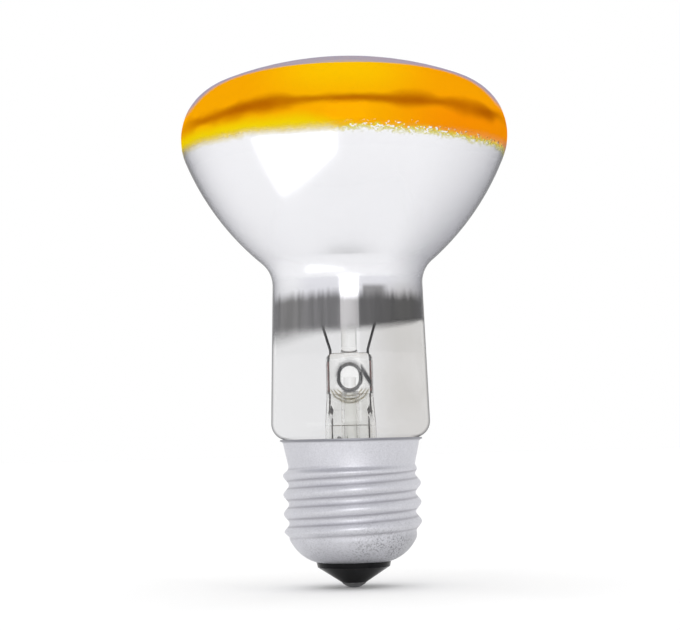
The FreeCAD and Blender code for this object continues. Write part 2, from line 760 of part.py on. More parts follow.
def shell_line():
    """Outer line of the sheet from the floor hole up to the lip, as (radius, height, thread)."""
    floor_radius, floor_height = size("shell_floor_radius"), size("shell_floor_height")
    root, low, top = size("thread_root_radius"), size("thread_low_height"), size("thread_top_height")
    skirt, skirt_height = size("skirt_radius"), size("skirt_height")
    lip, lip_height = size("lip_radius"), size("lip_height") - size("shell_sheet")
    centre_radius, centre_height = size("bowl_centre"), size("bowl_centre_height")
    radius = size("bowl_radius")
    start = math.atan2(floor_height - centre_height, floor_radius - centre_radius)
    end = math.atan2(low - centre_height, root - centre_radius)
    line = []
    for step in range(ROWS_IN_BEND):
        angle = start + (end - start) * step / ROWS_IN_BEND
        line.append((centre_radius + radius * math.cos(angle), centre_height + radius * math.sin(angle), 0.0))
    rows = math.ceil((top - low) / size("thread_pitch") * ROWS_PER_PITCH)
    runout = size("thread_runout")
    for step in range(rows):
        height = low + (top - low) * step / rows
        line.append((root, height, smooth((height - low) / runout) * smooth((top - height) / runout)))
    for step in range(ROWS_IN_BEND):
        share = step / ROWS_IN_BEND
        line.append((root + (skirt - root) * share, top + (skirt_height - top) * share, 0.0))
    for step in range(ROWS_IN_BEND + 1):
        angle = math.pi / 2 * step / ROWS_IN_BEND
        line.append((skirt + (lip - skirt) * (1 - math.cos(angle)),
                     skirt_height + (lip_height - skirt_height) * math.sin(angle), 0.0))
    return line


def smooth(share):
    share = min(max(share, 0.0), 1.0)
    return share * share * (3 - 2 * share)


def inset_line(line, depth):
    """The same line moved into the sheet by its thickness, square to the sheet."""
    moved = []
    for index, (radius, height, thread) in enumerate(line):
        before = line[max(index - 1, 0)]
        after = line[min(index + 1, len(line) - 1)]
        along = Vector(after[0] - before[0], after[1] - before[1], 0).normalize()
        moved.append((radius - along.y * depth, height + along.x * depth, thread))
    return moved


def threaded_face(line):
    """Surface through the line turned about the axis, pushed out along the helix of the thread."""
    depth, pitch, crest = size("thread_depth"), size("thread_pitch"), size("thread_crest_height")
    rows = []
    for radius, height, thread in line:
        row = []
        for column in range(COLUMNS_PER_TURN + 1):
            turn = math.pi / 2 + 2 * math.pi * column / COLUMNS_PER_TURN
            wave = math.cos(2 * math.pi * (height - crest) / pitch - (turn - math.pi))
            out = radius + depth * thread * (1 + wave) / 2
            row.append(Vector(out * math.cos(turn), out * math.sin(turn), height))
        rows.append(row)
    surface = Part.BSplineSurface()
    surface.interpolate(rows)
    return surface.toShape()


def end_edge(face, top):
    """Closed edge at the top or bottom of a threaded face."""
    rings = [edge for edge in face.Edges if edge.BoundBox.ZLength < 0.01]
    rings.sort(key=lambda edge: edge.BoundBox.ZMax)
    return rings[-1] if top else rings[0]


def make_cap_shell():
    line = shell_line()
    outer = threaded_face(line)
    inner = threaded_face(inset_line(line, size("shell_sheet")))
    floor = Part.makeRuledSurface(end_edge(outer, False), end_edge(inner, False))
    lip = Part.makeRuledSurface(end_edge(outer, True), end_edge(inner, True))
    sheet_shell = Part.makeShell([outer, inner, floor, lip])
    sheet_shell.sewShape()
    solid = Part.makeSolid(sheet_shell)
    if solid.Volume < 0:
        solid.reverse()
    feature = doc.addObject("Part::Feature", "cap_shell")
    feature.Label = "cap_shell"
    feature.Shape = solid
    return feature


# Black glass insulator moulded in the bottom of the shell
def make_cap_insulator():
    floor_share = "(shell_floor_radius - bowl_centre) / bowl_radius"
    floor_climb = "(bowl_centre_height - shell_floor_height) / bowl_radius"
    return turned("cap_insulator", [
        ("eyelet_radius", "contact_height"),
        ("contact_radius", "contact_height"),
        ("insulator_step_radius", "insulator_step_height"),
        ("shell_floor_radius - fit_clearance", "shell_floor_height"),
        ("bowl_centre + bowl_bore * %s" % floor_share, "bowl_centre_height - bowl_bore * %s" % floor_climb),
        ("insulator_top_radius",
         "bowl_centre_height - sqrt(bowl_bore ^ 2 - (insulator_top_radius - bowl_centre) ^ 2)",
         "bowl_bore", 1),
        ("eyelet_radius", "contact_height + insulator_depth"),
    ])


# Centre contact: brass disc with a hollow rivet through the insulator
def make_contact_eyelet():
    return turned("contact_eyelet", [
        ("eyelet_bore_radius", "contact_face_height"),
        ("contact_face_radius", "contact_face_height"),
        ("contact_radius", "contact_height", "contact_round", 1),
        ("eyelet_radius", "contact_height"),
        ("eyelet_radius", "eyelet_top_height"),
        ("eyelet_bore_radius", "eyelet_top_height"),
    ])


# Solder drop that closes the contact and holds the fuse wire
def make_centre_solder():
    return turned("centre_solder", [
        ("0", "0"),
        ("solder_tip_radius", "0"),
        ("contact_face_radius", "contact_face_height", "solder_round", 1),
        ("eyelet_bore_radius", "contact_face_height"),
        ("eyelet_bore_radius", "solder_fill"),
        ("0", "solder_fill"),
    ])


# Cement ring between the envelope and the skirt of the shell
def make_cement_ring():
    def shell_bore(height):
        return "shell_root_bore - fit_clearance + (%s - thread_top_height) * skirt_slope" % height

    return turned("basing_cement", [
        ("seal_radius + (cement_low_height - seal_height) * seal_slope", "cement_low_height"),
        (shell_bore("cement_low_height"), "cement_low_height"),
        (shell_bore("cement_top_height"), "cement_top_height"),
        ("mouth_centre - sqrt(mouth_fillet ^ 2 - (cement_top_height - mouth_height) ^ 2)",
         "cement_top_height"),
        ("seal_top_radius", "mouth_height", "mouth_fillet", 1),
    ])


# Solder spot that joins the side lead to the lip
def make_mouth_plug():
    """Room that the envelope takes up in the mouth of the cap, its inside too."""
    return turned("mouth_plug", [
        ("0", "seal_height"),
        ("seal_radius", "seal_height"),
        ("seal_top_radius", "mouth_height"),
        ("heel_centre + heel_radius * heel_cosine", "neck_base_height - heel_radius * heel_sine",
         "mouth_fillet", -1),
        ("neck_base_radius", "neck_base_height", "heel_radius", 1),
        ("0", "neck_base_height"),
    ])


def make_side_solder_ball():
    ball = doc.addObject("Part::Sphere", "side_solder_ball")
    ball.setExpression("Radius", linked("side_solder_radius"))
    ball.setExpression("Placement.Base.x", linked("-lead_spread"))
    ball.setExpression("Placement.Base.y",
                       linked("sqrt((lip_radius - shell_sheet) ^ 2 - lead_spread ^ 2)"))
    ball.setExpression("Placement.Base.z", linked("side_solder_height"))
    doc.recompute()
    return ball


def build():
    """Make every piece and return those that are written out."""
    glass_bulb = make_glass_bulb()
    stem_glass = make_stem_glass()
    exhaust_tube = make_exhaust_tube()
    count = int(size("hook_count"))
    hooks = [make_hook("support_wire_%d" % (index + 1), 180.0 * (index + 1) / (count + 1))
             for index in range(count)]
    arbor_rod = cut_from("arbor_rod", make_arbor_rod(), hooks)
    leads = [make_inner_lead("inner_lead_left", "-"), make_inner_lead("inner_lead_right", "")]
    seals = [make_seal_wire("seal_wire_left", "-"), make_seal_wire("seal_wire_right", "")]
    centre_lead = make_outer_lead_centre()
    side_lead = make_outer_lead_side()
    fuse_wire = make_fuse_wire()
    filament = make_filament()
    cap_shell = make_cap_shell()
    cap_insulator = make_cap_insulator()
    contact_eyelet = make_contact_eyelet()
    centre_solder = make_centre_solder()
    basing_cement = cut_from("basing_cement", make_cement_ring(), [side_lead])
    side_solder = cut_from("side_solder", make_side_solder_ball(),
                           [make_mouth_plug(), cap_shell, basing_cement, side_lead])
    return ([glass_bulb, stem_glass, exhaust_tube, arbor_rod] + hooks + leads + seals
            + [centre_lead, side_lead, fuse_wire, filament, cap_shell, cap_insulator,
               contact_eyelet, centre_solder, basing_cement, side_solder])


def check(pieces):
    """Stop if any object of the document failed or any piece is empty or not a valid solid."""
    doc.recompute()
    faults = []
    for item in doc.Objects:
        if "Invalid" in item.State or "Error" in item.State:
            faults.append("%s is %s" % (item.Label, item.State))
    for piece in pieces:
        shape = piece.Shape
        if shape.isNull() or not shape.isValid() or not shape.Solids:
            faults.append("%s has no valid solid" % piece.Label)
    if faults:
        raise RuntimeError("; ".join(faults))


def write(pieces):
    os.makedirs("parts", exist_ok=True)
    for piece in pieces:
        piece.Shape.exportStep(os.path.join("parts", piece.Label + ".step"))
        box = piece.Shape.BoundBox
        print("%-18s solids %d  volume %9.3f  z %7.3f to %7.3f" % (
            piece.Label, len(piece.Shape.Solids), piece.Shape.Volume, box.ZMin, box.ZMax))


pieces = build()
check(pieces)
write(pieces)
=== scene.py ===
import math

import bpy
from mathutils import Matrix, Vector


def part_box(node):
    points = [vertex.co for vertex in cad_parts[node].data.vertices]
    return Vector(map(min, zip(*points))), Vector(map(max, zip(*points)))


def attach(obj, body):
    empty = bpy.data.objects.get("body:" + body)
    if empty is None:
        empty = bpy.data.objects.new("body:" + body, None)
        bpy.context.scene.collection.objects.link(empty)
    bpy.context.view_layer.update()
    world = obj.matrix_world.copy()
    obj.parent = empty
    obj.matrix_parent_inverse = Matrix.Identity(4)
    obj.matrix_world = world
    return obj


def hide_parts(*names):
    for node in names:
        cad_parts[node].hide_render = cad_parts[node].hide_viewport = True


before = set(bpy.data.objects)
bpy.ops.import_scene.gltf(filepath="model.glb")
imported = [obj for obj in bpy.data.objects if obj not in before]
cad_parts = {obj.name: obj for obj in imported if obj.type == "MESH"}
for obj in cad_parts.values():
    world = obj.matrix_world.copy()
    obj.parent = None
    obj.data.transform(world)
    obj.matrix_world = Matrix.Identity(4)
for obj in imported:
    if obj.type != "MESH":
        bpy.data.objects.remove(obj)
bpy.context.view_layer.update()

bl_info = {
    "name": "Reflector lamp finishes",
    "version": (1, 0, 0),
    "blender": (4, 5, 0),
    "location": "3D View > Sidebar > Lamp",
    "description": "Finishes, coatings and studio for the reflector lamp",
    "category": "Object",
}

MM = 0.001
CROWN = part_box("glass_bulb")[1].z / MM
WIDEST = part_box("glass_bulb")[1].x / MM
CAP_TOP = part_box("cap_shell")[1].z / MM

# Outer line of the envelope in millimetres, as the glass is blown
WIDEST_HEIGHT = 86.0
DOME_RADIUS = 65.0
RIM_RADIUS = 10.8
RIM_SWEEP = math.radians(22.0)
REFLECTOR_RADIUS = 51.0
NECK_FILLET = 5.6
NECK_TOP_RADIUS = 14.4
NECK_BASE_RADIUS = 15.2
NECK_BASE_HEIGHT = 31.3

# Rolled thread of the cap in millimetres
THREAD_PITCH = 3.63
THREAD_CREST = 14.1
THREAD_LOW = 10.0
THREAD_TOP = 22.6

# Depth under the outer face of the glass at which the coatings are drawn, in millimetres. The real film
# is inside the wall, but this see-through glass doesn't bend light, so only a film close under its
# outer face fills the outline as the real one seems to.
FILM_DEPTH = 0.15
LACQUER_DEPTH = 0.05
# How far the meshes of the coatings reach past the edges that their materials draw, in millimetres
FILM_OVER_TOP = 1.0
FILM_UNDER_FOOT = 6.0
LACQUER_UNDER_EDGE = 3.0
# Columns of faces round each coating
FILM_COLUMNS = 192
LACQUER_COLUMNS = 256

# From the top of the press down to the middle of its blow hole, in millimetres
BLOW_HOLE_DROP = 5.8

# Filament coil: the radius of its wire in millimetres, its turns, and the steps and sides of each turn
COIL_WIRE = 0.045
COIL_TURNS = 150
COIL_STEPS = 14
COIL_SIDES = 6

# Floor and light cards in metres
FLOOR_REACH = 4.0
FLOOR_CORNERS = 96
FRONT_CARD_PLACE = (0.035, -0.90, 0.40)
FRONT_CARD_WIDTH = 0.44
FRONT_CARD_HEIGHT = 0.80
LOW_CARD_HEIGHT = 0.004
LOW_CARD_OUTLINE = ((-0.0145, -0.175), (-0.0104, -0.112), (-0.067, -0.0375), (-0.190, -0.083),
                    (-0.190, -0.110))
BOUNCE_CARD_HEIGHT = 0.0003
BOUNCE_CARD_REACH = 0.070
BOUNCE_CARD_HOLE = 0.013

# Brightness of the light cards, where the white room is 1
FRONT_CARD_LIGHT = 1.7
LOW_CARD_LIGHT = 1.5
BOUNCE_CARD_LIGHT = 1.04

# Tilt of the camera in degrees
CAMERA_PITCH = 3.96
CAMERA_YAW = 0.25
CAMERA_ROLL = -1.30


def length(name, about, millimetres):
    """Length a user can change, shown in the scene's unit."""
    return bpy.props.FloatProperty(name=name, description=about, default=millimetres * MM,
                                   min=0.0, precision=5, unit="LENGTH", subtype="DISTANCE")


def tint(name, about, colour):
    """Colour a user can change."""
    return bpy.props.FloatVectorProperty(name=name, description=about, default=colour,
                                         size=3, min=0.0, max=1.0, subtype="COLOR")


def share(name, about, value):
    """Share from 0 to 1 a user can change."""
    return bpy.props.FloatProperty(name=name, description=about, default=value,
                                   min=0.0, max=1.0, subtype="FACTOR")


class LampCoatings(bpy.types.PropertyGroup):
    """Where the coatings of the envelope begin and end."""
    film_top: length("Film top", "Height at which the mirror film ends below the face", 88.3)
    film_foot: length("Film foot", "Height at which the mirror film ends in the neck", 50.0)
    film_haze: length("Film haze", "How far the film fades out below its foot on one side", 3.4)
    smoke_top: length("Smoke top", "Height at which the mirror film turns smoky", 53.6)
    lacquer_edge: length("Lacquer edge", "Height of the lower edge of the lacquer", 83.1)
    lacquer_cover: share("Lacquer cover", "How much the lacquer hides what is behind it", 0.76)


class LampColours(bpy.types.PropertyGroup):
    """Colours of the lamp's materials."""
    amber: tint("Amber", "Lacquer on the face", (1.0, 0.425, 0.001))
    # The amber line colour is a painted shadow of the mirror film's top edge on the lacquer
    amber_edge_shadow: tint("Amber line", "Lacquer over the edge of the mirror film", (0.42, 0.095, 0.0))
    amber_thin: tint("Thin amber", "Lacquer where it thins out at its lower edge", (0.92, 0.68, 0.002))
    silver: tint("Silver", "Mirror film", (0.935, 0.935, 0.955))
    smoke: tint("Smoke", "Mirror film where it thins out in the neck", (0.25, 0.245, 0.245))
    aluminium: tint("Aluminium", "Screw cap", (0.61, 0.61, 0.65))
    black_glass: tint("Black glass", "Insulator of the cap", (0.003, 0.003, 0.004))
    copper: tint("Copper", "Wires sealed in the press", (0.75, 0.22, 0.17))
    nickel: tint("Nickel", "Wires between the press and the filament", (0.06, 0.058, 0.06))


class LampStudio(bpy.types.PropertyGroup):
    """Floor, light and camera."""
    room_light: bpy.props.FloatProperty(name="Room light", description="Strength of the light from all round",
                                        default=1.30, min=0.0)
    floor_colour: tint("Floor", "Colour of the floor", (0.84, 0.84, 0.84))
    camera_distance: length("Camera distance", "From the lens to the lamp's axis", 360.0)
    camera_height: length("Camera height", "Above the floor", 27.0)
    focal: bpy.props.FloatProperty(name="Focal length", description="Lens of the camera", default=0.09942,
                                   min=0.01, precision=5, unit="CAMERA")


class Finish:
    """Node tree of one material, with short calls for the nodes that the finishes share."""

    def __init__(self, name):
        self.material = bpy.data.materials.new(name)
        self.material.use_nodes = True
        self.tree = self.material.node_tree
        self.tree.nodes.clear()
        self.output = self.node("ShaderNodeOutputMaterial")
        self.place = self.node("ShaderNodeTexCoord").outputs["Object"]
        self.millimetres = self.vector("SCALE", self.place, factor=1.0 / MM)
        parts = self.node("ShaderNodeSeparateXYZ")
        self.join(self.millimetres, parts.inputs[0])
        self.across, self.back, self.height = parts.outputs

    def node(self, kind, **settings):
        node = self.tree.nodes.new(kind)
        for name, value in settings.items():
            setattr(node, name, value)
        return node

    def join(self, value, socket):
        """Feed a socket from another socket, or set it to a plain value."""
        if isinstance(value, bpy.types.NodeSocket):
            self.tree.links.new(value, socket)
        elif hasattr(socket.default_value, "__len__"):
            full = (*value, 1.0)
            socket.default_value = full[:len(socket.default_value)]
        else:
            socket.default_value = value

    def math(self, operation, *values):
        node = self.node("ShaderNodeMath", operation=operation)
        for value, socket in zip(values, node.inputs):
            self.join(value, socket)
        return node.outputs[0]

    def times(self, first, second):
        return self.math("MULTIPLY", first, second)

    def plus(self, first, second):
        return self.math("ADD", first, second)

    def minus(self, first, second):
        return self.math("SUBTRACT", first, second)

    def apart(self, first, second):
        """How far two values are from each other."""
        return self.math("ABSOLUTE", self.minus(first, second))

    def span(self, first, second):
        """Length of the slanting side of a right triangle."""
        return self.math("SQRT", self.plus(self.times(first, first), self.times(second, second)))

    def vector(self, operation, first, second=None, factor=None):
        node = self.node("ShaderNodeVectorMath", operation=operation)
        self.join(first, node.inputs[0])
        if second is not None:
            self.join(second, node.inputs[1])
        if factor is not None:
            self.join(factor, node.inputs["Scale"])
        return node.outputs[0]

    def stretched(self, across, back, height):
        """Position in millimetres with each axis scaled, for streaks."""
        return self.vector("MULTIPLY", self.millimetres, (across, back, height))

    def fade(self, value, low, high, start=0.0, end=1.0):
        """Smooth step of a value from low to high."""
        node = self.node("ShaderNodeMapRange", interpolation_type="SMOOTHSTEP")
        for name, item in (("Value", value), ("From Min", low), ("From Max", high),
                           ("To Min", start), ("To Max", end)):
            self.join(item, node.inputs[name])
        return node.outputs["Result"]

    def noise(self, size, detail=2.0, roughness=0.5, place=None):
        """Noise with lumps of about this many millimetres."""
        node = self.node("ShaderNodeTexNoise")
        self.join(self.millimetres if place is None else place, node.inputs["Vector"])
        node.inputs["Scale"].default_value = 1.0 / size
        node.inputs["Detail"].default_value = detail
        node.inputs["Roughness"].default_value = roughness
        return node.outputs["Fac"]

    def blend(self, factor, first, second):
        """First colour where the factor is 0 and second where it is 1."""
        node = self.node("ShaderNodeMix", data_type="RGBA")
        self.join(factor, node.inputs[0])
        self.join(first, node.inputs[6])
        self.join(second, node.inputs[7])
        return node.outputs[2]

    def bump(self, value, depth):
        """Relief of this many millimetres."""
        node = self.node("ShaderNodeBump")
        node.inputs["Strength"].default_value = 1.0
        node.inputs["Distance"].default_value = depth * MM
        self.join(value, node.inputs["Height"])
        return node.outputs["Normal"]

    def principled(self, **values):
        node = self.node("ShaderNodeBsdfPrincipled")
        for name, value in values.items():
            self.join(value, node.inputs[name.replace("_", " ")])
        return node.outputs["BSDF"]

    def mix(self, factor, first, second):
        """First shader where the factor is 0 and second where it is 1."""
        node = self.node("ShaderNodeMixShader")
        self.join(factor, node.inputs[0])
        self.tree.links.new(first, node.inputs[1])
        self.tree.links.new(second, node.inputs[2])
        return node.outputs[0]

    def facing(self):
        """0 where the surface is seen square on, 1 where it is seen along its face."""
        node = self.node("ShaderNodeLayerWeight")
        node.inputs["Blend"].default_value = 0.5
        return node.outputs["Facing"]

    def done(self, shader):
        self.tree.links.new(shader, self.output.inputs["Surface"])
        return self.material


def dimmed(colour, part):
    """Colour darkened to this part of itself."""
    return tuple(c * part for c in colour)


def dress(node_name, material):
    """Put a finish on a CAD node."""
    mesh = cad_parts[node_name].data
    mesh.materials.clear()
    mesh.materials.append(material)


def add_piece(name, vertices, faces, material):
    """New mesh piece that rides on the lamp."""
    mesh = bpy.data.meshes.new(name)
    mesh.from_pydata([Vector(v) * MM for v in vertices], [], faces)
    mesh.polygons.foreach_set("use_smooth", [True] * len(mesh.polygons))
    mesh.update()
    mesh.materials.append(material)
    piece = bpy.data.objects.new(name, mesh)
    bpy.context.scene.collection.objects.link(piece)
    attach(piece, "root")
    return piece


def arc(centre, radius, start, end, step):
    """Points of an arc from one angle to another."""
    count = max(2, math.ceil(abs(end - start) / step))
    return [(centre[0] + radius * math.cos(start + (end - start) * i / count),
             centre[1] + radius * math.sin(start + (end - start) * i / count))
            for i in range(count + 1)]


def wall_line(depth):
    """Line of the envelope from the crown down to the foot of the neck, this deep in the glass."""
    rim_centre = WIDEST - RIM_RADIUS
    dome_reach = DOME_RADIUS - RIM_RADIUS
    dome_height = WIDEST_HEIGHT - math.sqrt(dome_reach ** 2 - rim_centre ** 2)
    dome_end = math.acos(rim_centre / dome_reach)
    reach = REFLECTOR_RADIUS - RIM_RADIUS
    reflector = (rim_centre - reach * math.cos(RIM_SWEEP), WIDEST_HEIGHT + reach * math.sin(RIM_SWEEP))
    fillet_centre = NECK_TOP_RADIUS + NECK_FILLET
    turn = math.acos((fillet_centre - reflector[0]) / (REFLECTOR_RADIUS + NECK_FILLET))
    neck_top = reflector[1] - (REFLECTOR_RADIUS + NECK_FILLET) * math.sin(turn)
    line = arc((0, dome_height), DOME_RADIUS - depth, math.pi / 2, dome_end, 0.02)
    line += arc((rim_centre, WIDEST_HEIGHT), RIM_RADIUS - depth, dome_end, -RIM_SWEEP, 0.05)[1:]
    line += arc(reflector, REFLECTOR_RADIUS - depth, -RIM_SWEEP, -turn, 0.025)[1:]
    line += arc((fillet_centre, neck_top), NECK_FILLET + depth, math.pi - turn, math.pi, 0.08)[1:]
    for i in range(1, 25):
        part = i / 24
        line.append((NECK_TOP_RADIUS - depth + (NECK_BASE_RADIUS - NECK_TOP_RADIUS) * part,
                     neck_top + (NECK_BASE_HEIGHT - neck_top) * part))
    return line


def cut_line(line, top, foot):
    """Stretch of a falling line between two heights."""
    kept = []
    for before, after in zip(line, line[1:]):
        for limit in (top, foot):
            if before[1] > limit > after[1]:
                part = (before[1] - limit) / (before[1] - after[1])
                kept.append((before[0] + (after[0] - before[0]) * part, limit))
        if foot <= after[1] <= top:
            kept.append(after)
    if line[0][1] <= top:
        kept.insert(0, line[0])
    return kept


def lathe(line, columns):
    """Vertices and faces of a line turned about the axis. A point on the axis stays one vertex."""
    vertices = []
    rings = []
    for radius, height in line:
        if radius < 1e-6:
            rings.append([len(vertices)] * columns)
            vertices.append((0.0, 0.0, height))
            continue
        rings.append([len(vertices) + i for i in range(columns)])
        for i in range(columns):
            angle = 2 * math.pi * i / columns
            vertices.append((radius * math.cos(angle), radius * math.sin(angle), height))
    faces = []
    for upper, lower in zip(rings, rings[1:]):
        for i in range(columns):
            j = (i + 1) % columns
            corners = [upper[i], lower[i], lower[j], upper[j]]
            faces.append(tuple(dict.fromkeys(corners)))
    return vertices, faces


def clear_glass(name, coatings):
    """Thin blown glass: see-through, with a dark outline where its outer face is seen along the wall and
    greyer on one side of the neck. Over the lacquer its gloss is nearly off, apart from a pale
    sheen along the crown."""
    f = Finish(name)
    edge = coatings.lacquer_edge / MM
    # The normal that a shader reads is turned to the viewer, so it is turned back to tell the outer face
    geometry = f.node("ShaderNodeNewGeometry")
    flip = f.math("MULTIPLY_ADD", geometry.outputs["Backfacing"], -2.0, 1.0)
    heart = (0.0, 0.0, 60.0)
    from_heart = f.vector("SUBTRACT", f.millimetres, heart)
    lean = f.node("ShaderNodeVectorMath", operation="DOT_PRODUCT")
    f.join(from_heart, lean.inputs[0])
    f.join(geometry.outputs["Normal"], lean.inputs[1])
    outside = f.math("GREATER_THAN", f.times(lean.outputs["Value"], flip), 0.0)
    facing = f.facing()
    coated = f.fade(f.height, edge - 0.5, edge + 1.5)
    gloss_share = f.math("MULTIPLY_ADD", f.math("POWER", facing, 5.0), 0.16, 0.045)
    gloss_share = f.times(gloss_share, f.math("MULTIPLY_ADD", coated, -0.98, 1.0))
    crown = f.times(f.fade(facing, 0.75, 0.87, 0.0, 0.85), f.fade(f.height, 89.0, 92.0))
    gloss_share = f.math("MAXIMUM", gloss_share, crown)
    gloss_share = f.times(gloss_share, f.math("MULTIPLY_ADD", outside, 0.9, 0.1))
    ripple = f.noise(9.0, 2.0, 0.4, place=f.stretched(1.0, 1.0, 0.35))
    # Greyer on the right side of the neck
    hazy = f.times(f.fade(f.across, 0.0, 11.0), f.fade(f.noise(11.0, 2.0), 0.25, 0.7, 0.6, 1.0))
    hazy = f.times(hazy, f.fade(f.height, 54.0, 58.0, 1.0, 0.0))
    neck_tint, cone_tint, side_grey_tint = (0.888, 0.888, 0.893), (0.960, 0.960, 0.963), (0.782, 0.772, 0.760)
    coated_tint, inner_tint, outline_tint = (0.992, 0.992, 0.992), (0.998, 0.998, 0.998), (0.12, 0.12, 0.13)
    clear = f.blend(f.fade(f.height, 54.0, 58.0), neck_tint, cone_tint)
    clear = f.blend(hazy, clear, side_grey_tint)
    clear = f.blend(coated, clear, coated_tint)
    clear = f.blend(outside, inner_tint, clear)
    seen = f.node("ShaderNodeBsdfTransparent")
    rim = f.times(f.fade(facing, 0.72, 0.95, 0.0, 0.65), outside)
    rim = f.times(rim, f.minus(1.0, coated))
    f.join(f.blend(rim, clear, outline_tint), seen.inputs["Color"])
    bare_gloss, crown_gloss = (1.0, 1.0, 1.0), (0.33, 0.34, 0.50)
    gloss = f.node("ShaderNodeBsdfGlossy")
    gloss.inputs["Roughness"].default_value = 0.03
    f.join(f.blend(coated, bare_gloss, crown_gloss), gloss.inputs["Color"])
    f.join(f.bump(ripple, 0.02), gloss.inputs["Normal"])
    return f.done(f.mix(gloss_share, seen.outputs[0], gloss.outputs[0]))


def lead_glass(f, body, relief):
    """Clear lead glass of this body colour, with the slight ripple of drawn tube and rod."""
    ripple = f.noise(3.0, 2.0, 0.5, place=f.stretched(1.0, 1.0, 0.3))
    return f.done(f.principled(Base_Color=body, Roughness=0.0, IOR=1.55, Transmission_Weight=1.0,
                               Normal=f.bump(ripple, relief)))


def drawn_glass_finish(name, colour):
    """Plain lead glass of the exhaust tube and the arbor."""
    f = Finish(name)
    return lead_glass(f, f.blend(f.noise(2.5, 2.0), colour, dimmed(colour, 0.96)), 0.03)


def stem_glass_finish(colour):
    """Pressed lead glass: painted dark where the lip of the blow hole and a fold beside it bend the light,
    and yellowish flow lines under it."""
    f = Finish("stem_glass")
    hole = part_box("stem_glass")[1].z / MM - BLOW_HOLE_DROP
    up = f.minus(f.height, hole)
    wobble = f.times(f.minus(f.noise(1.2, 2.0), 0.5), 0.5)
    reach = f.plus(f.span(f.across, f.times(up, 0.86)), wobble)
    front = f.fade(f.back, -1.2, -0.4, 1.0, 0.0)
    thick = f.fade(up, -2.0, 2.2, 0.45, 1.30)
    ring = f.minus(1.0, f.fade(f.apart(reach, 2.15), 0.2, thick))
    slope = f.plus(f.times(f.across, 0.85), f.times(up, 0.53))
    fold = f.minus(1.0, f.fade(f.apart(slope, 2.85), 0.25, 0.75))
    fold = f.times(fold, f.fade(f.across, 1.9, 2.3))
    fold = f.times(fold, f.fade(f.math("ABSOLUTE", up), 2.3, 2.8, 1.0, 0.0))
    # Painted shade: the blow hole's lip and the fold beside it are darkened where the glass bends the light
    dark = f.math("MAXIMUM", ring, fold)
    under = f.fade(up, -2.6, -1.7, 1.0, 0.0)
    waves = f.math("SINE", f.times(reach, 11.0))
    stain = f.times(f.fade(f.apart(reach, 3.4), 0.6, 1.3, 1.0, 0.0), under)
    stain = f.times(stain, f.fade(waves, -0.8, 0.9, 0.30, 1.0))
    stain_tint, dark_tint = (0.22, 0.19, 0.09), (0.0008, 0.0008, 0.001)
    body = f.blend(f.noise(2.5, 2.0), colour, dimmed(colour, 0.96))
    body = f.blend(f.times(stain, front), body, stain_tint)
    body = f.blend(f.times(dark, front), body, dark_tint)
    return lead_glass(f, body, 0.04)


